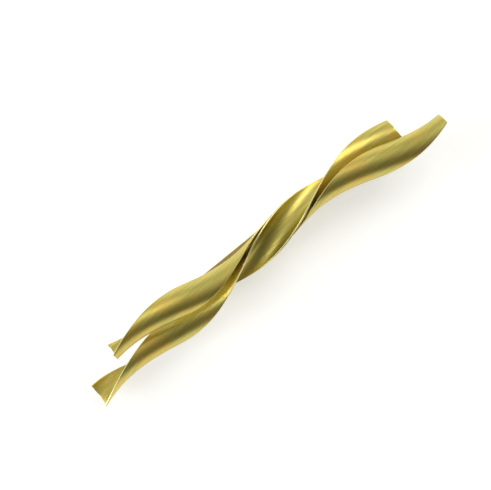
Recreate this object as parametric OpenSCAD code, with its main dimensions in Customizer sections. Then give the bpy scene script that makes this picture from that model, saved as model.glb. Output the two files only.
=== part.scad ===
// Double-twist bar brooch: two channelled brass strips nested and twisted left-handed,
// soldered at the waist, with a bar pin, a hinged stem and a turning safety catch behind.
// X runs along the brooch, Y across it, +Z towards the front. All sizes in millimetres.

/* [Strips] */
// Length of each strip along the brooch
strip_len = 88.2; // [70:0.1:106]
// How far the front strip is pushed along past the rear strip
strip_stagger = 8.9; // [2:0.1:14]
// Thickness of the sheet
sheet_t = 0.4; // [0.3:0.01:0.5]
// Radius of the channel, at the middle of the sheet
channel_r = 3.33; // [2.8:0.01:4.2]
// Half the angle that the channel's section spans, degrees
channel_half = 72.7; // [55:0.1:75]
// Place of the twist axis, from the channel's centre (0) to its ridge (1)
twist_seat = 0.642; // [0.6:0.001:1]

/* [Lay of the strips] */
// Rear strip's turn at its middle, then per half length and its powers, degrees
rear_twist = [209.9, 266.3, 5, -4.6, -15.2, -4.6]; // [-90:0.1:360]
// Front strip's turn, in the same form
front_twist = [262.9, 312.2, -4, -48.7, -1.1, 17.6]; // [-90:0.1:360]
// Rear strip's sideways course in channel radii, in the same form
rear_course = [-0.318, 1.733, 1.014, -1.744, -1.099, 0.673]; // [-2:0.001:2]
// Front strip's sideways course, in the same form
front_course = [0.166, -0.538, -0.656, -1.448, 0.297, 1.138]; // [-2:0.001:2]
// Depth from the twist layout to each strip's axis at the ends, in channel radii
end_lift = 0.955; // [0.8:0.005:1.3]
// Depth that the strips sink past each other at the waist, in channel radii
waist_sink = 0.283; // [0.18:0.001:0.4]
// Where the sink is deepest, as a part of the half length
waist_place = 0.129; // [0.05:0.0005:0.2]
// Reach of the sink along the strips, as a part of the half length
waist_reach = 0.424; // [0.38:0.001:0.5]
// Clearance between the strips where they nest
nest_gap = 0.02; // [0.01:0.01:0.1]

// Where the two solder beads sit at the waist, as parts of the half length
bead_places = [-0.11, 0.34]; // [-0.2:0.01:0.4]
// Radius of each solder bead at the waist
bead_r = 0.4; // [0.3:0.05:0.8]

/* [Back bar] */
// Length of the back bar
bar_len = 50; // [40:0.5:60]
// Width of the back bar
bar_w = 4.6; // [3.8:0.1:5.6]
// Thickness of the back bar
bar_t = 0.8; // [0.5:0.05:1.2]
// Where the middle of the bar lies along the brooch
bar_x = 5; // [0:0.5:8]
// Where the middle of the bar lies across the brooch
bar_y = 0.9; // [0:0.1:1.5]

// Radius of the two solder pads under the strip
pad_r = 0.8; // [0.5:0.1:1]

/* [Pin stem and hinge] */
// Diameter of the pin stem
stem_d = 0.8; // [0.6:0.05:1]
// Length of the sharpened point
point_len = 4; // [2:0.1:6]
// Height of the stem's axis behind the bar
stem_h = 1.75; // [1.7:0.05:2.4]
// Distance from the bar's end to the hinge rivet
hinge_inset = 2.2; // [1.8:0.1:4]
// Diameter of the hinge rivet
rivet_d = 0.7; // [0.5:0.05:0.8]
// Diameter of the stem's knuckle
knuckle_d = 1.7; // [1.4:0.05:2]
// Width of the stem's knuckle
knuckle_w = 1.5; // [1.2:0.1:2]
// Thickness of each hinge ear
ear_t = 0.5; // [0.4:0.05:0.7]

/* [Catch] */
// Distance from the bar's end to the middle of the catch
catch_inset = 3; // [2.8:0.1:5]
// Length of the catch housing along the stem
housing_len = 2.2; // [1.6:0.1:3]
// Wall of the catch housing
housing_wall = 0.35; // [0.25:0.05:0.5]
// Wall of the turning sleeve
sleeve_wall = 0.36; // [0.25:0.01:0.45]
// Room between the stem and the sleeve's bore
stem_room = 0.32; // [0.2:0.01:0.5]
// Thickness of each sleeve flange
flange_t = 0.45; // [0.3:0.05:0.7]
// Reach of the thumb tab beyond the sleeve's flange
tab_reach = 1.1; // [0.6:0.1:1.6]

/* [Fits] */
// Radial clearance of the running fits
run_gap = 0.05; // [0.02:0.01:0.09]
// Clearance beside the knuckle and beside the sleeve's flanges
side_gap = 0.06; // [0.03:0.01:0.15]
// Room on each side of the stem in the mouth of the catch
mouth_room = 0.1; // [0.05:0.01:0.2]

/* [Hidden] */
round_fn = 48;
// Steps along each strip and round its section
stations = 96;
arc_steps = 10;
search_step = 0.05;
// Sheet and clearance that the courses are laid out for, and how a change of them parts the strips
laid_for = 0.42;
nest_ratio = 1.5;
// Small parts of the findings
pad_rise = 0.5;
pad_taper = 0.6;
ear_rim = 0.15;
foot_t = 0.4;
rivet_rim = 0.25;
rivet_head_t = 0.3;
tip_short = 0.2;
tip_r = 0.06;
flange_rim = 0.2;
tab_w = 0.9;

half_len = strip_len / 2;
rear_from = -half_len - strip_stagger / 2;
front_from = -half_len + strip_stagger / 2;
seat = sheet_t + nest_gap - laid_for;

// A course or a turn at place w along a strip, -1 to 1 from end to end, from its terms
function course(terms, w, i = 0) = i < len(terms) ? terms[i] + w * course(terms, w, i + 1) : 0;

// Depth of a strip's axis: the strips sink past each other at the waist and part towards the ends
function lift(q) = channel_r * (end_lift - (end_lift + waist_sink) * exp(-pow((q - waist_place) / waist_reach, 2)));

// A point of the rear (side = -1) or front (side = 1) strip: x along the brooch, s round the
// channel from its ridge in degrees, and out from the middle of the sheet
function strip_point(side, x, s, out) =
    let(
        w = (x - side * strip_stagger / 2) / half_len,
        turn = course(side < 0 ? rear_twist : front_twist, w),
        y0 = channel_r * course(side < 0 ? rear_course : front_course, w),
        z0 = side * lift(x / half_len),
        u = (channel_r + out) * cos(s) - channel_r * twist_seat + side * nest_ratio * seat,
        v = (channel_r + out) * sin(s)
    )
    [x, y0 - u * cos(turn) + v * sin(turn), z0 + u * sin(turn) + v * cos(turn)];

function strip_from(side) = side < 0 ? rear_from : front_from;

// One ring of the strip: along the outer face, then back along the inner face
function strip_ring(side, x) = concat(
    [for (i = [0 : arc_steps]) strip_point(side, x, channel_half * (2 * i / arc_steps - 1), sheet_t / 2)],
    [for (i = [arc_steps : -1 : 0]) strip_point(side, x, channel_half * (2 * i / arc_steps - 1), -sheet_t / 2)]
);

function strip_rings(side) = [
    for (k = [0 : stations]) strip_ring(side, strip_from(side) + strip_len * k / stations)
];

rear_rings = strip_rings(-1);
front_rings = strip_rings(1);
rear_points = [for (ring = rear_rings) each ring];
front_points = [for (ring = front_rings) each ring];

// The deepest point of a list between two x values, at most room across from the bar's middle
function deepest(points, x0, x1, room) =
    let(
        inside = [for (p = points) if (p[0] >= x0 && p[0] <= x1 && abs(p[1] - bar_y) <= room) p],
        low = min([for (p = inside) p[2]])
    )
    [for (p = inside) if (p[2] <= low) p][0];

bar_from = bar_x - bar_len / 2;
bar_to = bar_x + bar_len / 2;
left_foot = deepest(rear_points, bar_from + pad_r, bar_x - bar_len / 6, bar_w / 2 - pad_r);
right_foot = deepest(rear_points, bar_x + bar_len / 6, bar_to - pad_r, bar_w / 2 - pad_r);

bar_front = deepest(rear_points, bar_from, bar_to, bar_w / 2)[2] - nest_gap;
bar_back = bar_front - bar_t;
stem_z = bar_back - stem_h;
hinge_x = bar_from + hinge_inset;
catch_x = bar_to - catch_inset;
tip_x = bar_to - tip_short;

rivet_r = rivet_d / 2;
knuckle_r = knuckle_d / 2;
ear_r = knuckle_r + ear_rim;
ear_gap = knuckle_w + 2 * side_gap;
rivet_head_r = rivet_r + rivet_rim;

stem_r = stem_d / 2;
sleeve_in = stem_r + stem_room;
sleeve_out = sleeve_in + sleeve_wall;
housing_in = sleeve_out + run_gap;
housing_out = housing_in + housing_wall;
flange_r = housing_in + flange_rim;
sleeve_len = housing_len + 2 * side_gap + 2 * flange_t;
sleeve_mouth = stem_d + 2 * mouth_room;
housing_mouth = sleeve_mouth + 2 * mouth_room;

all_y = [for (p = concat(rear_points, front_points)) p[1]];
mid_y = (min(all_y) + max(all_y)) / 2;
low_z = stem_z - sqrt(pow(housing_out, 2) - pow(housing_mouth / 2, 2));

strip_brass = [0.80, 0.74, 0.42];
finding_brass = [0.72, 0.64, 0.34];
pin_steel = [0.78, 0.77, 0.73];
solder_grey = [0.70, 0.68, 0.60];

module place() {
    translate([0, -mid_y, -low_z]) children();
}

// The channelled strip: rings joined side by side, and closed at both ends
module strip(points) {
    ring = 2 * (arc_steps + 1);
    sides = [
        for (k = [0 : stations - 1], i = [0 : ring - 1])
            let(a = k * ring + i, b = k * ring + (i + 1) % ring)
            each [[a, b, b + ring], [a, b + ring, a + ring]]
    ];
    start = [
        for (i = [0 : arc_steps - 1])
            let(a = i, b = i + 1, c = ring - 2 - i, d = ring - 1 - i)
            each [[a, c, b], [a, d, c]]
    ];
    last = stations * ring;
    end = [for (f = start) [last + f[0], last + f[2], last + f[1]]];
    polyhedron(points = points, faces = concat(sides, start, end));
}

module strip_rear() {
    color(strip_brass) place() strip(rear_points);
}

module strip_front() {
    color(strip_brass) place() strip(front_points);
}

module rod_y(x, r, len) {
    translate([x, bar_y, stem_z]) rotate([90, 0, 0]) cylinder(r = r, h = len, center = true, $fn = round_fn);
}

module rod_x(x0, x1, r) {
    translate([x0, bar_y, stem_z]) rotate([0, 90, 0]) cylinder(r = r, h = x1 - x0, $fn = round_fn);
}

// The middle of the shortest line between the strips at one place along them
function nearest(x) =
    let(
        steps = [-1 : search_step : 1],
        pairs = [
            for (i = steps, j = steps)
                let(a = strip_point(-1, x, i * channel_half, 0), b = strip_point(1, x, j * channel_half, 0))
                [norm(a - b), (a + b) / 2]
        ],
        least = min([for (p = pairs) p[0]])
    )
    [for (p = pairs) if (p[0] <= least) p[1]][0];

module waist_solder() {
    color(solder_grey) place() {
        for (q = bead_places) {
            translate(nearest(q * half_len)) sphere(r = bead_r, $fn = round_fn);
        }
    }
}

module back_bar() {
    color(finding_brass) place() translate([bar_x, bar_y, bar_back]) linear_extrude(bar_t) {
        square([bar_len - bar_w, bar_w], center = true);
        for (side = [-1, 1]) {
            translate([side * (bar_len - bar_w) / 2, 0]) circle(d = bar_w, $fn = round_fn);
        }
    }
}

module bar_solder() {
    color(solder_grey) place() {
        for (foot = [left_foot, right_foot]) {
            translate([foot[0], foot[1], bar_front])
                cylinder(r1 = pad_r, r2 = pad_r * pad_taper, h = foot[2] - bar_front + pad_rise, $fn = round_fn);
        }
    }
}

module hinge_bracket() {
    color(finding_brass) place() difference() {
        union() {
            translate([hinge_x - ear_r, bar_y - ear_gap / 2 - ear_t, bar_back - foot_t])
                cube([2 * ear_r, ear_gap + 2 * ear_t, foot_t]);
            for (side = [-1, 1]) {
                translate([hinge_x, bar_y + side * (ear_gap + ear_t) / 2, 0]) {
                    translate([-ear_r, -ear_t / 2, stem_z]) cube([2 * ear_r, ear_t, stem_h]);
                    translate([0, 0, stem_z]) rotate([90, 0, 0])
                        cylinder(r = ear_r, h = ear_t, center = true, $fn = round_fn);
                }
            }
        }
        rod_y(hinge_x, rivet_r, ear_gap + 4 * ear_t);
    }
}

module hinge_rivet() {
    color(pin_steel) place() {
        rod_y(hinge_x, rivet_r, ear_gap + 2 * ear_t);
        for (side = [-1, 1]) {
            translate([hinge_x, bar_y + side * (ear_gap + 2 * ear_t + rivet_head_t) / 2, stem_z])
                rotate([90, 0, 0]) cylinder(r = rivet_head_r, h = rivet_head_t, center = true, $fn = round_fn);
        }
    }
}

module pin_stem() {
    color(pin_steel) place() difference() {
        union() {
            rod_y(hinge_x, knuckle_r, knuckle_w);
            rod_x(hinge_x, tip_x - point_len, stem_r);
            translate([tip_x - point_len, bar_y, stem_z]) rotate([0, 90, 0])
                cylinder(r1 = stem_r, r2 = tip_r, h = point_len, $fn = round_fn);
        }
        rod_y(hinge_x, rivet_r + run_gap, 2 * knuckle_w);
    }
}

// A slot through the catch, open towards the back
module mouth(width) {
    translate([catch_x - housing_len * 2, bar_y - width / 2, stem_z - 2 * housing_out])
        cube([4 * housing_len, width, 2 * housing_out]);
}

module catch_housing() {
    color(finding_brass) place() difference() {
        union() {
            rod_x(catch_x - housing_len / 2, catch_x + housing_len / 2, housing_out);
            translate([catch_x - housing_len / 2, bar_y - housing_out, stem_z])
                cube([housing_len, 2 * housing_out, stem_h]);
        }
        rod_x(catch_x - housing_len, catch_x + housing_len, housing_in);
        mouth(housing_mouth);
    }
}

module catch_sleeve() {
    color(finding_brass) place() difference() {
        union() {
            rod_x(catch_x - sleeve_len / 2, catch_x + sleeve_len / 2, sleeve_out);
            for (side = [-1, 1]) {
                flange_x = catch_x + side * (sleeve_len - flange_t) / 2;
                rod_x(flange_x - flange_t / 2, flange_x + flange_t / 2, flange_r);
            }
            translate([catch_x + sleeve_len / 2 - flange_t, bar_y, stem_z - tab_w / 2])
                cube([flange_t, flange_r + tab_reach, tab_w]);
        }
        rod_x(catch_x - sleeve_len, catch_x + sleeve_len, sleeve_in);
        mouth(sleeve_mouth);
    }
}

strip_rear();
strip_front();
waist_solder();
back_bar();
bar_solder();
hinge_bracket();
hinge_rivet();
pin_stem();
catch_housing();
catch_sleeve();
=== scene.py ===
# Bar brooch of two twisted brass channels, with its pin back, dressed for a studio picture.
# Metres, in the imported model's frame. Sizes in the settings below are in millimetres.
import math

import bmesh
import bpy
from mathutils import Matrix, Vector


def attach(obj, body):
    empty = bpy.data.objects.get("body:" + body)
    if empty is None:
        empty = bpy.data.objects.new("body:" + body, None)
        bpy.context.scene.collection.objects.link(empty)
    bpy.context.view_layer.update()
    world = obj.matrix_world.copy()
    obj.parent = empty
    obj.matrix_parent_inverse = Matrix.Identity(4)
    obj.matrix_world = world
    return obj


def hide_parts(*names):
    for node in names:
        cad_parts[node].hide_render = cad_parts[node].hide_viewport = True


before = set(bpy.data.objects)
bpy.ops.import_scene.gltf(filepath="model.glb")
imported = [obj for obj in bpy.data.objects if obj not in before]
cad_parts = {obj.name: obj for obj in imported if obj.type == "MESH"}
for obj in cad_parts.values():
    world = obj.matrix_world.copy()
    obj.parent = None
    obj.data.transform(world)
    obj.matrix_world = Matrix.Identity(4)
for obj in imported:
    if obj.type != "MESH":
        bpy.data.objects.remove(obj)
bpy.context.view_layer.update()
scene = bpy.context.scene
mm = 0.001
evenly = (1000.0, 1000.0, 1000.0)  # noise coordinates in millimetres
print("frame loaded,", len(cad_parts), "nodes")


class Flow:  # one socket of a material, so that values combine as Python expressions
    def __init__(self, tree, socket=None):
        self.tree, self.socket = tree, socket

    def add(self, kind, settings=None, values=None, out=0):
        made = self.tree.nodes.new(kind)
        for name, value in (settings or {}).items():
            if name == "stops":
                ramp = made.color_ramp
                while len(ramp.elements) < len(value):
                    ramp.elements.new(0.5)
                for element, (place, colour) in zip(ramp.elements, value):
                    element.position = place
                    element.color = (*colour, 1.0)
            else:
                setattr(made, name, value)
        for name, value in (values or {}).items():
            if isinstance(value, Flow):
                self.tree.links.new(value.socket, made.inputs[name])
            else:
                made.inputs[name].default_value = value
        return Flow(self.tree, made.outputs[out])

    def maths(self, operation, left, right=0.0):
        return self.add("ShaderNodeMath", {"operation": operation}, {0: left, 1: right})

    def __add__(self, other):
        return self.maths("ADD", self, other)

    __radd__ = __add__

    def __mul__(self, other):
        return self.maths("MULTIPLY", self, other)

    __rmul__ = __mul__

    def __sub__(self, other):
        return self.maths("SUBTRACT", self, other)

    def __rsub__(self, other):
        return self.maths("SUBTRACT", other, self)

    def over(self, low, high):  # 0 to 1 between the two values, held at both ends
        return self.add(
            "ShaderNodeMapRange", {"clamp": True, "interpolation_type": "SMOOTHSTEP"},
            {"Value": self, "From Min": low, "From Max": high},
        )

    def noise(self, coords, stretch, scale, detail=2.0, roughness=0.5):
        moved = self.add("ShaderNodeMapping", None, {"Vector": coords, "Scale": stretch})
        return self.add(
            "ShaderNodeTexNoise", {"noise_dimensions": "3D", "normalize": True},
            {"Vector": moved, "Scale": scale, "Detail": detail, "Roughness": roughness},
        )

    def mix(self, share, first, second):
        return self.add(
            "ShaderNodeMix", {"data_type": "RGBA"}, {0: share, 6: first, 7: second}, out=2
        )


def colour(red, green, blue):
    return (red, green, blue, 1.0)


def newMetal(name):
    material = bpy.data.materials.new(name)
    material.use_nodes = True
    tree = material.node_tree
    shader = next(n for n in tree.nodes if n.type == "BSDF_PRINCIPLED")
    shader.inputs["Metallic"].default_value = 1.0
    return material, Flow(tree), shader


def plug(flow, shader, name, value):
    flow.tree.links.new(value.socket, shader.inputs[name])


stripBrass = {
    "light": colour(0.70, 0.62, 0.185),
    "deep": colour(0.53, 0.455, 0.105),
    "rose": colour(0.76, 0.53, 0.12),
    # lighter colour of the eased sheet edges: partly real edge wear, partly a painted highlight for
    # the bright edge lines
    "edge": colour(0.84, 0.76, 0.36),
    "roughness": 0.38,
    "fineRough": 0.22,
    "grainRough": 0.10,
    "edgePolish": 0.10,
    "edgeShare": 0.8,
    "roseShare": 0.8,
    "drawn": (1.0, 0.05, 1.0),
    "fineScale": 3.2,
    "broadScale": 1.6,
    "grainScale": 3.4,
    "patchScale": 0.17,
    "grainHeight": 0.034,
    "heights": (0.7, 0.5, 0.3),  # shares of the fine, grain and broad patterns in the relief
}


def makeStripBrass(name, settings, seed):
    metal, flow, shader = newMetal(name)
    lay = flow.add("ShaderNodeUVMap", {"uv_map": "lay"})
    shifted = flow.add("ShaderNodeMapping", None, {"Vector": lay, "Location": (seed, seed, 0)})
    place = flow.add("ShaderNodeTexCoord", out="Object")
    edge = flow.add("ShaderNodeAttribute", {"attribute_name": "edge"}, out="Fac")
    fine = flow.noise(shifted, settings["drawn"], settings["fineScale"], 4.0, 0.65)  # satin lines
    broad = flow.noise(shifted, settings["drawn"], settings["broadScale"], 2.0)
    grain = flow.noise(place, evenly, settings["grainScale"], 3.0, 0.7)
    patch = flow.noise(place, evenly, settings["patchScale"], 3.0)
    base = flow.mix(broad.over(0.3, 0.7), settings["light"], settings["deep"])
    base = flow.mix(patch.over(0.42, 0.66) * settings["roseShare"], base, settings["rose"])
    base = flow.mix((grain.over(0.35, 0.65) - 0.5) * 0.5 + 0.25, base, settings["deep"])
    # the eased edges are lightened: partly edge wear, partly painted highlight
    base = flow.mix(edge * settings["edgeShare"], base, settings["edge"])
    plug(flow, shader, "Base Color", base)
    rough = settings["roughness"] + (fine - 0.5) * settings["fineRough"]
    rough = rough + (grain - 0.5) * settings["grainRough"]
    plug(flow, shader, "Roughness", rough - edge * settings["edgePolish"])
    ofFine, ofGrain, ofBroad = settings["heights"]
    height = fine * ofFine + grain * ofGrain + broad * ofBroad
    bump = flow.add(
        "ShaderNodeBump", None,
        {"Strength": 1.0, "Distance": settings["grainHeight"] * mm, "Height": height},
    )
    plug(flow, shader, "Normal", bump)
    return metal


rolledBrass = {
    "light": colour(0.78, 0.62, 0.25),
    "deep": colour(0.66, 0.50, 0.17),
    "roughness": 0.27,
    "lineHeight": 0.004,
}

rolledLines = {
    "scale": 6.0,
    "cloudScale": 0.5,
    "scratchScale": 14.0,
    "scratchStretch": 0.7,
    "rough": 0.2,
    "cloudRough": 0.12,
    "scratchShare": 0.5,
}


def makeRolledBrass(name, settings, stretch):
    metal, flow, shader = newMetal(name)
    place = flow.add("ShaderNodeTexCoord", out="Object")
    longer = tuple(s * rolledLines["scratchStretch"] for s in stretch)
    lines = flow.noise(place, stretch, rolledLines["scale"], 3.0, 0.6)
    cloud = flow.noise(place, evenly, rolledLines["cloudScale"], 2.0)
    scratch = flow.noise(place, longer, rolledLines["scratchScale"], 1.0)
    base = flow.mix(cloud.over(0.35, 0.7), settings["light"], settings["deep"])
    plug(flow, shader, "Base Color", base)
    rough = settings["roughness"] + (lines - 0.5) * rolledLines["rough"]
    plug(flow, shader, "Roughness", rough + (cloud - 0.5) * rolledLines["cloudRough"])
    height = lines + scratch * rolledLines["scratchShare"]
    bump = flow.add(
        "ShaderNodeBump", None,
        {"Strength": 1.0, "Distance": settings["lineHeight"] * mm, "Height": height},
    )
    plug(flow, shader, "Normal", bump)
    return metal


drawnSteel = {
    "light": colour(0.66, 0.65, 0.62),
    "deep": colour(0.50, 0.49, 0.46),
    "roughness": 0.2,
    "lineHeight": 0.002,
}

silverSolder = {
    "light": colour(0.66, 0.62, 0.50),
    "deep": colour(0.50, 0.44, 0.30),
    "roughness": 0.38,
    "ripple": 0.03,
    "flowScale": 1.4,
    "pitScale": 7.0,
    "pitRough": 0.3,
    "pitHeight": 0.25,
}


def makeSolder(name, settings):
    metal, flow, shader = newMetal(name)
    place = flow.add("ShaderNodeTexCoord", out="Object")
    flowed = flow.noise(place, evenly, settings["flowScale"], 2.0)
    pits = flow.noise(place, evenly, settings["pitScale"], 2.0, 0.6)
    base = flow.mix(flowed.over(0.35, 0.65), settings["light"], settings["deep"])
    plug(flow, shader, "Base Color", base)
    rough = settings["roughness"] + (pits - 0.5) * settings["pitRough"]
    plug(flow, shader, "Roughness", rough)
    height = flowed + pits * settings["pitHeight"]
    bump = flow.add(
        "ShaderNodeBump", None,
        {"Strength": 0.8, "Distance": settings["ripple"] * mm, "Height": height},
    )
    plug(flow, shader, "Normal", bump)
    return metal


along = (30.0, 1000.0, 1000.0)  # lines that run along X
around = (1000.0, 30.0, 1000.0)  # lines that run along Y
metals = {
    "stripRear": makeStripBrass("rearStripSatin", stripBrass, 3.0),
    "stripFront": makeStripBrass("frontStripSatin", stripBrass, 41.0),
    "bar": makeRolledBrass("barRolled", rolledBrass, along),
    "bracket": makeRolledBrass("bracketStamped", rolledBrass, around),
    "catch": makeRolledBrass("catchFormed", rolledBrass, around),
    "sleeve": makeRolledBrass("sleeveTurned", rolledBrass, around),
    "steel": makeRolledBrass("stemDrawn", drawnSteel, along),
    "rivet": makeRolledBrass("rivetDrawn", drawnSteel, around),
    "solder": makeSolder("silverSolder", silverSolder),
}
print("metals made:", len(metals))


def onCircle(radius, degrees):
    return radius * math.cos(math.radians(degrees)), radius * math.sin(math.radians(degrees))


def newPiece(name, shape, metal, body, nodes):  # shape: points and faces
    points, faces = shape
    mesh = bpy.data.meshes.new(name)
    mesh.from_pydata([Vector(p) for p in points], [], faces)
    mesh.update()
    piece = bpy.data.objects.new(name, mesh)
    scene.collection.objects.link(piece)
    mesh.materials.append(metal)
    mesh.polygons.foreach_set("use_smooth", [True] * len(mesh.polygons))
    tidy = bmesh.new()
    tidy.from_mesh(mesh)
    bmesh.ops.recalc_face_normals(tidy, faces=tidy.faces)
    tidy.to_mesh(mesh)
    tidy.free()
    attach(piece, body)
    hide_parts(*nodes)
    return piece


def steady(piece):  # broad faces keep their own shading beside small rounded edges
    keep = piece.modifiers.new("steadyShading", "WEIGHTED_NORMAL")
    keep.keep_sharp = False
    keep.weight = 60


def easeEdges(piece, radius, steps=3):
    ease = piece.modifiers.new("easedEdges", "BEVEL")
    ease.width = radius * mm
    ease.segments = steps
    ease.limit_method = "ANGLE"
    ease.angle_limit = math.radians(32)
    ease.use_clamp_overlap = True
    steady(piece)


def lathed(profile, at, axis, turns=64):  # profile: (place along the axis, radius), in millimetres
    along = Vector(axis).normalized()
    side = along.orthogonal().normalized()
    up = along.cross(side)
    points, rings = [], []
    for place, radius in profile:
        if radius < 1e-6:
            rings.append([len(points)])
            points.append(at + along * place * mm)
            continue
        rings.append(list(range(len(points), len(points) + turns)))
        for k in range(turns):
            angle = 2 * math.pi * k / turns
            points.append(
                at + (along * place + (side * math.cos(angle) + up * math.sin(angle)) * radius) * mm
            )
    faces = []
    closed = rings + ([rings[0]] if len(rings[0]) > 1 and len(rings[-1]) > 1 else [])
    for first, second in zip(closed, closed[1:]):
        for k in range(turns):
            n = (k + 1) % turns
            if len(first) == 1:
                faces.append((first[0], second[k], second[n]))
            elif len(second) == 1:
                faces.append((first[k], first[n], second[0]))
            else:
                faces.append((first[k], first[n], second[n], second[k]))
    return points, faces


def pulled(outline, at, across, up, depth):  # a closed outline made into a plate of that thickness
    normal = Vector(across).cross(Vector(up))
    points = []
    for end in (-0.5, 0.5):
        for a, b in outline:
            points.append(at + (Vector(across) * a + Vector(up) * b + normal * depth * end) * mm)
    count = len(outline)
    faces = [tuple(range(count))[::-1], tuple(range(count, 2 * count))]
    for k in range(count):
        n = (k + 1) % count
        faces.append((k, n, count + n, count + k))
    return points, faces


def joined(*shapes):
    points, faces = [], []
    for somePoints, someFaces in shapes:
        start = len(points)
        points += somePoints
        faces += [tuple(start + i for i in face) for face in someFaces]
    return points, faces


# Both strips have one section. Its turn and sideways course are sums of powers of w,
# the place along the strip from -1 to 1.
strips = {
    "length": 88.2,
    "stagger": 8.9,
    "sheet": 0.4,
    "radius": 3.33,
    "halfAngle": 72.7,
    "seat": 0.642,
    "twist": {  # degrees; -1 is the rear strip and 1 the front strip
        -1: (209.9, 266.3, 5.0, -4.6, -15.2, -4.6),
        1: (262.9, 312.2, -4.0, -48.7, -1.1, 17.6),
    },
    "course": {
        -1: (-0.318, 1.733, 1.014, -1.744, -1.099, 0.673),
        1: (0.166, -0.538, -0.656, -1.448, 0.297, 1.138),
    },
    "lift": (0.955, 0.283, 0.129, 0.424),
    "shift": Vector((0.0, 0.48096, 9.36066)),
    "corner": 0.11,
    "stations": 460,
    "arcSteps": 44,
}


def summed(terms, w):
    return sum(term * w ** power for power, term in enumerate(terms))


def stripPoint(side, x, angle, out):
    half, radius = strips["length"] / 2, strips["radius"]
    w = (x - side * strips["stagger"] / 2) / half
    turn = math.radians(summed(strips["twist"][side], w))
    top, sink, place, reach = strips["lift"]
    rise = side * radius * (top - (top + sink) * math.exp(-(((x / half - place) / reach) ** 2)))
    u = (radius + out) * math.cos(angle) - radius * strips["seat"]
    v = (radius + out) * math.sin(angle)
    y = radius * summed(strips["course"][side], w) - u * math.cos(turn) + v * math.sin(turn)
    return (Vector((x, y, rise + u * math.sin(turn) + v * math.cos(turn))) + strips["shift"]) * mm


def stripOutline(inset):  # (angle, out, edge mask) round the sheet's section, its corners eased
    radius, corner = strips["radius"], strips["corner"]
    half = math.radians(strips["halfAngle"]) - inset / radius
    thick = strips["sheet"] / 2 - inset
    ease = max(corner - inset, 0.015)
    flat = half - ease / radius
    steps = strips["arcSteps"]
    bend = [math.radians(18 * k) for k in range(1, 6)]
    outline = [(flat * (2 * k / steps - 1), thick, 0.0) for k in range(steps + 1)]
    for b in bend:
        outline.append((flat + ease * math.sin(b) / radius, thick - ease + ease * math.cos(b), 1.0))
    for b in [0] + bend:
        out, over = ease * math.cos(b), ease * math.sin(b)
        outline.append((flat + out / radius, -thick + ease - over, 1.0))
    back = [(-a, -o, e) for a, o, e in outline]
    return outline[:-1] + back[:-1]


def makeStrip(side, name, metal, node):
    start = -strips["length"] / 2 + side * strips["stagger"] / 2
    stop = start + strips["length"]
    corner = strips["corner"]
    rings = []
    for k in range(5):
        b = math.radians(90 - 22.5 * k)
        rings.append((start + corner * (1 - math.sin(b)), corner * (1 - math.cos(b)), 1.0))
    far = [(start + stop - x, inset, mark) for x, inset, mark in rings[::-1]]
    step = (stop - start - 2 * corner) / strips["stations"]
    rings += [(start + corner + step * k, 0.0, 0.0) for k in range(1, strips["stations"])] + far
    points, marks, lay = [], [], []
    for x, inset, endMark in rings:
        for angle, out, mark in stripOutline(inset):
            points.append(stripPoint(side, x, angle, out))
            marks.append(max(mark, endMark))
            lay.append((angle * strips["radius"] + (20.0 if out < 0 else 0.0), x))
    count = len(points) // len(rings)
    faces = []
    for k in range(len(rings) - 1):
        for i in range(count):
            n = (i + 1) % count
            faces.append((k * count + i, k * count + n, (k + 1) * count + n, (k + 1) * count + i))
    half = count // 2
    for first in (0, (len(rings) - 1) * count):
        for i in range(strips["arcSteps"]):  # each arc point has its partner through the sheet
            j = half + strips["arcSteps"] - i
            faces.append((first + i, first + i + 1, first + j - 1, first + j))
        faces.append(tuple(first + i for i in range(strips["arcSteps"], half + 1)))
        faces.append(tuple(first + i % count for i in range(half + strips["arcSteps"], count + 1)))
    piece = newPiece(name, (points, faces), metal, "root", [node])
    mesh = piece.data
    # marks the eased sheet edges that take the lighter colour, partly wear and partly painted
    # highlight
    edge = mesh.attributes.new("edge", "FLOAT", "POINT")
    edge.data.foreach_set("value", marks)
    layer = mesh.uv_layers.new(name="lay")
    for loop in mesh.loops:
        layer.data[loop.index].uv = lay[loop.vertex_index]
    steady(piece)
    return piece


makeStrip(-1, "rearStrip", metals["stripRear"], "strip_rear")
makeStrip(1, "frontStrip", metals["stripFront"], "strip_front")
print("strips made")


axisY, axisZ = 1.38096, 1.35292  # the stem's axis

backBar = {
    "middle": (5.0, axisY),
    "length": 50.0,
    "width": 4.6,
    "low": 3.1031,
    "high": 3.9028,
    "round": 0.2,
    "innerLoop": 0.45,  # how far in each face's inner loop lies, as a part of the half width
}


def makeBar():
    half, r = backBar["length"] / 2 - backBar["width"] / 2, backBar["width"] / 2
    ease, low, high = backBar["round"], backBar["low"], backBar["high"]
    bend = [math.radians(15 * k) for k in range(7)]
    profile = [(ease * (1 - math.sin(b)), low + ease * (1 - math.cos(b))) for b in bend]
    profile += [(ease * (1 - math.cos(b)), high - ease * (1 - math.sin(b))) for b in bend]
    loop = r * backBar["innerLoop"]
    profile = [(loop, low)] + profile + [(loop, high)]
    midX, midY = backBar["middle"]
    points, faces, count = [], [], 0
    for inset, z in profile:
        ring = []
        for side in (1, -1):
            for k in range(25):
                out, over = onCircle(r - inset, -90 + 7.5 * k)
                ring.append((midX + side * (half + out), midY + side * over, z))
        count = len(ring)
        points += [Vector(place) * mm for place in ring]
    for level in range(len(profile) - 1):
        for k in range(count):
            n = (k + 1) % count
            here, above = level * count, (level + 1) * count
            faces.append((here + k, here + n, above + n, above + k))
    faces.append(tuple(range(count))[::-1])
    faces.append(tuple(range((len(profile) - 1) * count, len(profile) * count)))
    bar = newPiece("barPlate", (points, faces), metals["bar"], "root", ["back_bar"])
    steady(bar)


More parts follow.
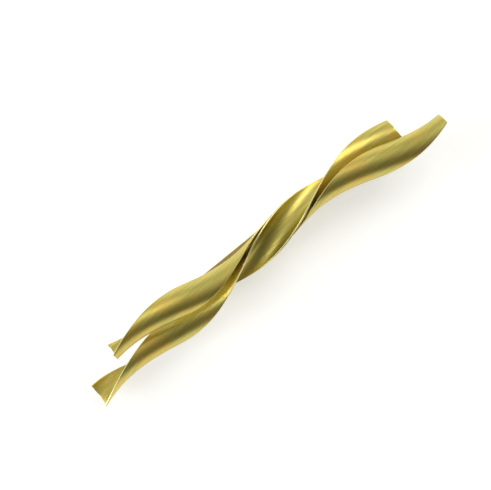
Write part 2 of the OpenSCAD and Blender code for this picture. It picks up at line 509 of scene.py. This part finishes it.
solderWork = {
    "beads": ((-4.851, -0.777, 7.0624), (14.994, 2.7841, 7.1167)),
    "beadSize": 0.4,
    "feet": ((-18.2313, 0.1118, 3.903, 0.676), (27.7063, 1.2851, 3.903, 0.520)),
    "footSize": 0.8,
    "lumps": 0.09,
    "waves": (5.1, 6.3, 7.7),
    "neck": 0.58,  # what the pad's hollow side narrows to, as a part of footSize
    "flare": 0.34,
    "flarePower": 2.2,
}


def lumpy(points, middle, seed):  # draws a shape in unevenly, never outwards
    changed = []
    for point in points:
        away = point - middle
        x, y, z = (part / mm * often for part, often in zip(away, solderWork["waves"]))
        wave = math.sin(x + seed) + math.sin(y + 2 * seed) + math.sin(z)
        changed.append(middle + away * (1 - solderWork["lumps"] * (0.5 + wave / 6)))
    return changed


def makeSolderWork():
    shapes = []
    for seed, bead in enumerate(solderWork["beads"]):
        size, middle = solderWork["beadSize"], Vector(bead) * mm
        profile = [onCircle(size, a)[::-1] for a in range(-90, 91, 6)]
        points, faces = lathed(profile, middle, (1, 0, 0), 48)
        shapes.append((lumpy(points, middle, seed), faces))
    newPiece("waistBeads", joined(*shapes), metals["solder"], "root", ["waist_solder"])
    shapes = []
    for seed, (x, y, z, tall) in enumerate(solderWork["feet"]):
        wide = solderWork["footSize"]
        profile = [(0.0, 0.0), (0.0, wide * 0.9), (0.02, wide * 0.985), (0.06, wide * 0.94)]
        for q in range(2, 10):  # hollow side, as solder draws up
            flare = solderWork["flare"] * (1 - q / 10) ** solderWork["flarePower"]
            profile.append((tall * q / 10, wide * (solderWork["neck"] + flare)))
        profile += [(tall * 0.97, wide * 0.54), (tall, wide * 0.4), (tall, 0.0)]
        middle = Vector((x, y, z)) * mm
        points, faces = lathed(profile, middle, (0, 0, 1), 48)
        shapes.append((lumpy(points, middle, seed + 3), faces))
    newPiece("barPads", joined(*shapes), metals["solder"], "root", ["bar_solder"])


makeBar()
makeSolderWork()
print("bar and solder made")


hinge = {
    "at": Vector((-17.8, axisY, axisZ)) * mm,
    "earRadius": 1.0,
    "earThick": 0.5,
    "gap": 1.62,
    "tall": 1.75,
    "foot": 0.4,
    "ease": 0.09,
    "rivet": 0.35,
    "head": 0.6,
    "headThick": 0.3,
    "webBend": 0.3,
    "webSink": 0.2,  # how far the web reaches into each ear
}


def makeBracket():
    ear, thick, gap = hinge["earRadius"], hinge["earThick"], hinge["gap"]
    outline = [(-ear, hinge["tall"]), (-ear, 0.0)]
    outline += [onCircle(-ear, a) for a in range(10, 171, 10)]
    outline += [(ear, 0.0), (ear, hinge["tall"])]
    shapes = []
    for side in (-1, 1):
        at = hinge["at"] + Vector((0, side * (gap + thick) / 2, 0)) * mm
        shapes.append(pulled(outline, at, (1, 0, 0), (0, 0, 1), thick))
    tall, inner, bend = hinge["tall"], gap / 2, hinge["webBend"]
    low = tall - hinge["foot"] - bend
    sunk = -inner - hinge["webSink"]
    web = [(sunk, tall), (sunk, low), (-inner + 0.02, low + 0.02)]
    for a in (0.4, 0.8, 1.2, 1.57):  # the inside of the fold, in radians
        web.append((-inner + bend - bend * math.cos(a), low + bend * math.sin(a)))
    web += [(-a, b) for a, b in web[::-1]]
    shapes.append(pulled(web, hinge["at"], (0, 1, 0), (0, 0, 1), 2 * ear * 0.985))
    shape = joined(*shapes)
    bracket = newPiece(
        "stampedBracket", shape, metals["bracket"], "root", ["hinge_bracket"]
    )
    easeEdges(bracket, hinge["ease"])


def makeRivet():
    reach, head, thick = hinge["gap"] / 2 + hinge["earThick"], hinge["head"], hinge["headThick"]
    dome = [(reach + onCircle(thick, a)[0], onCircle(head, a)[1]) for a in range(0, 81, 8)]
    dome += [(reach + thick * 0.12, head), (reach + 0.005, head * 0.97), (reach, hinge["rivet"])]
    profile = dome + [(-place, radius) for place, radius in dome[::-1]]
    shape = lathed(profile, hinge["at"], (0, 1, 0))
    steady(newPiece("domedRivet", shape, metals["rivet"], "root", ["hinge_rivet"]))


stem = {
    "radius": 0.4,
    "length": 47.6,
    "point": 4.0,
    "pointBulge": 1.25,
    "tipRadius": 0.06,
    "knuckle": 0.85,
    "knuckleEase": 0.12,
    "wide": 1.5,
    "bore": 0.4,
}


def makeStem():
    length, r, tip = stem["length"], stem["radius"], stem["tipRadius"]
    profile = [(0.55, 0.0), (0.55, r * 0.97), (1.2, r)]
    taper = length - stem["point"]
    profile += [(taper * q / 12, r) for q in range(1, 13)]
    for q in range(1, 17):  # a slightly bulging point, drawn out to a small round tip
        share = q / 17
        radius = tip + (r - tip) * (1 - share ** stem["pointBulge"])
        profile.append((taper + stem["point"] * share, radius))
    profile += [(length - 0.04, tip), (length - 0.01, tip * 0.6), (length, 0.0)]
    wire = lathed(profile, hinge["at"], (1, 0, 0), 48)
    wide, out, bore, ease = stem["wide"] / 2, stem["knuckle"], stem["bore"], stem["knuckleEase"]
    ring = [(-wide, bore + 0.05), (-wide + 0.05, bore), (wide - 0.05, bore), (wide, bore + 0.05)]
    corner = [onCircle(ease, 18 * k) for k in range(6)]
    ring += [(wide - ease + b, out - ease + a) for a, b in corner[::-1]]
    ring += [(-wide + ease - b, out - ease + a) for a, b in corner]
    knuckle = lathed(ring, hinge["at"], (0, 1, 0))
    shape = joined(wire, knuckle)
    steady(newPiece("pinWire", shape, metals["steel"], "pin", ["pin_stem"]))


makeBracket()
makeRivet()
makeStem()
print("hinge and stem made")


catch = {
    "at": Vector((27.0, axisY, axisZ)) * mm,
    "long": 2.2,
    "housing": (1.13, 1.48),
    "housingMouth": 0.6,
    "tall": 1.75,
    "ease": 0.07,
    "sleeve": (0.72, 1.08),
    "sleeveMouth": 0.5,
    "sleeveLong": 3.22,
    "flange": 1.33,
    "flangeThick": 0.45,
    "tabWide": 0.9,
    "tabReach": 2.43,
    "tubeShy": 0.012,  # keeps the tube's mouth behind the flanges' mouths
}


def openRing(inner, outer, mouth, steps=40):  # a ring's section, open at the bottom
    points = []
    for radius, order in ((outer, 1), (inner, -1)):
        start = math.asin(mouth / radius)
        turn = 2 * (math.pi - start) / steps
        sweep = [-math.pi / 2 + start + turn * k for k in range(steps + 1)]
        points += [(radius * math.cos(a), radius * math.sin(a)) for a in sweep[::order]]
    return points


def makeHousing():
    inner, outer = catch["housing"]
    mouth, tall = catch["housingMouth"], catch["tall"]
    start = math.asin(mouth / outer)
    outline = []
    for k in range(19):
        a = -math.pi / 2 + start + (math.pi / 2 - start) * k / 18
        outline.append((outer * math.cos(a), outer * math.sin(a)))
    outline += [(outer, tall), (-outer, tall)]
    outline += [(-a, b) for a, b in outline[:19][::-1]]
    outline += openRing(inner, outer, mouth)[41:]
    shape = pulled(outline, catch["at"], (0, 1, 0), (0, 0, 1), catch["long"])
    housing = newPiece(
        "catchHousing", shape, metals["catch"], "root", ["catch_housing"]
    )
    easeEdges(housing, catch["ease"])


def makeSleeve():
    inner, outer = catch["sleeve"]
    thick, reach, wide = catch["flangeThick"], catch["tabReach"], catch["tabWide"] / 2
    shy, mouth = catch["tubeShy"], catch["sleeveMouth"]
    tube = openRing(inner + shy, outer, mouth + shy)
    shapes = [pulled(tube, catch["at"], (0, 1, 0), (0, 0, 1), catch["sleeveLong"] - 0.1)]
    for side in (-1, 1):
        at = catch["at"] + Vector((side * (catch["sleeveLong"] - thick) / 2, 0, 0)) * mm
        flange = openRing(inner, catch["flange"], mouth)
        shapes.append(pulled(flange, at, (0, 1, 0), (0, 0, 1), thick))
    tab = [(inner + 0.15, -wide), (reach - wide, -wide)]
    for a in range(-75, 76, 15):
        out, over = onCircle(wide, a)
        tab.append((reach - wide + out, over))
    tab += [(reach - wide, wide), (inner + 0.15, wide)]
    shapes.append(pulled(tab, at, (0, 1, 0), (0, 0, 1), thick * 0.96))
    shape = joined(*shapes)
    sleeve = newPiece(
        "turningSleeve", shape, metals["sleeve"], "sleeve", ["catch_sleeve"]
    )
    easeEdges(sleeve, catch["ease"])


makeHousing()
makeSleeve()
print("catch made")


studio = {
    "floorSize": 3.0,
    "floorWhite": (0.80, 0.80, 0.79),
    "floorRough": 0.9,
    "floorGlow": 0.50,
    "glowTint": (0.97, 0.985, 1.0),
    "skyLow": 0.14,
    "skyRise": 0.50,
    "brightSide": (0.5, 0.87),  # X and Y of the direction that the sky brightens towards
    "sideBand": (-0.6, 0.95),
    "zenith": 0.36,
    "overhead": (0.30, 0.954),  # X and Z of the direction that takes the zenith's brightness
    "overheadBand": (0.80, 0.99),
    "horizon": 1.02,
    "horizonTint": (1.0, 1.0, 1.0),
    "horizonBand": (0.02, 0.30),
    "shadeTint": (1.0, 0.96, 0.80),
    "lightTint": (1.0, 0.99, 0.94),
    "leftBox": {
        "from": (-0.71, 0.46, 0.54),
        "far": 0.8,
        "size": (0.55, 0.50),
        "power": 3.3,
        "tint": (0.96, 1.0, 1.02),
    },
    "rightBox": {
        "from": (0.60, 0.24, 0.76),
        "far": 0.8,
        "size": (0.42, 0.42),
        "power": 1.8,
        "tint": (1.0, 0.93, 0.90),
    },
}


def makeFloor():
    half = studio["floorSize"] / 2
    mesh = bpy.data.meshes.new("studioFloor")
    corners = [(-half, -half, 0), (half, -half, 0), (half, half, 0), (-half, half, 0)]
    mesh.from_pydata(corners, [], [(0, 1, 2, 3)])
    floor = bpy.data.objects.new("studioFloor", mesh)
    scene.collection.objects.link(floor)
    paper = bpy.data.materials.new("whitePaper")
    paper.use_nodes = True
    shader = next(n for n in paper.node_tree.nodes if n.type == "BSDF_PRINCIPLED")
    shader.inputs["Base Color"].default_value = colour(*studio["floorWhite"])
    shader.inputs["Roughness"].default_value = studio["floorRough"]
    shader.inputs["Specular IOR Level"].default_value = 0.0
    shader.inputs["Emission Color"].default_value = colour(*studio["glowTint"])
    shader.inputs["Emission Strength"].default_value = studio["floorGlow"]
    mesh.materials.append(paper)


def makeSoftbox(name, settings):
    lamp = bpy.data.lights.new(name, "AREA")
    lamp.shape = "RECTANGLE"
    lamp.size, lamp.size_y = settings["size"]
    lamp.energy = settings["power"]
    lamp.color = settings["tint"]
    box = bpy.data.objects.new(name, lamp)
    scene.collection.objects.link(box)
    away = Vector(settings["from"]).normalized()
    box.location = away * settings["far"]
    box.rotation_euler = away.to_track_quat("Z", "Y").to_euler()


def makeWorld():
    world = bpy.data.worlds.new("studioRoom")
    world.use_nodes = True
    tree = world.node_tree
    tree.nodes.clear()
    flow = Flow(tree)
    place = flow.add("ShaderNodeTexCoord", out="Generated")
    parts = flow.add("ShaderNodeSeparateXYZ", None, {0: place})
    up = Flow(tree, parts.socket.node.outputs["Z"])
    right = Flow(tree, parts.socket.node.outputs["X"])
    across = Flow(tree, parts.socket.node.outputs["Y"])
    brightX, brightY = studio["brightSide"]
    overX, overZ = studio["overhead"]
    side = (right * brightX + across * brightY).over(*studio["sideBand"])
    sky = side * studio["skyRise"] + studio["skyLow"]
    zenith = (right * overX + up * overZ).over(*studio["overheadBand"])
    sky = sky + (studio["zenith"] - sky) * zenith
    horizon = 1 - up.over(*studio["horizonBand"])
    sky = sky + (studio["horizon"] - sky) * horizon
    tint = flow.mix(side, colour(*studio["shadeTint"]), colour(*studio["lightTint"]))
    tint = flow.mix(horizon, tint, colour(*studio["horizonTint"]))
    back = flow.add("ShaderNodeBackground", None, {"Color": tint, "Strength": sky})
    out = tree.nodes.new("ShaderNodeOutputWorld")
    tree.links.new(back.socket, out.inputs["Surface"])
    scene.world = world


cameraStand = {
    "at": (-2.26, 2.847, 489.361),
    "turn": -39.15,
    "seen": 108.02,  # the width in view at the distance "far"
    "far": 480.0,
    "sensor": 36.0,
    "clip": (0.01, 10.0),  # metres
}


def makeCamera():
    lens = bpy.data.cameras.new("overheadCamera")
    lens.sensor_width = cameraStand["sensor"]
    lens.lens = cameraStand["sensor"] * cameraStand["far"] / cameraStand["seen"]
    lens.clip_start, lens.clip_end = cameraStand["clip"]
    camera = bpy.data.objects.new("overheadCamera", lens)
    scene.collection.objects.link(camera)
    camera.location = Vector(cameraStand["at"]) * mm
    camera.rotation_euler = (0, 0, math.radians(cameraStand["turn"]))
    scene.camera = camera


makeFloor()
for boxName in ("leftBox", "rightBox"):
    makeSoftbox(boxName, studio[boxName])
makeWorld()
makeCamera()
scene.view_settings.view_transform = "Standard"
print("studio set")
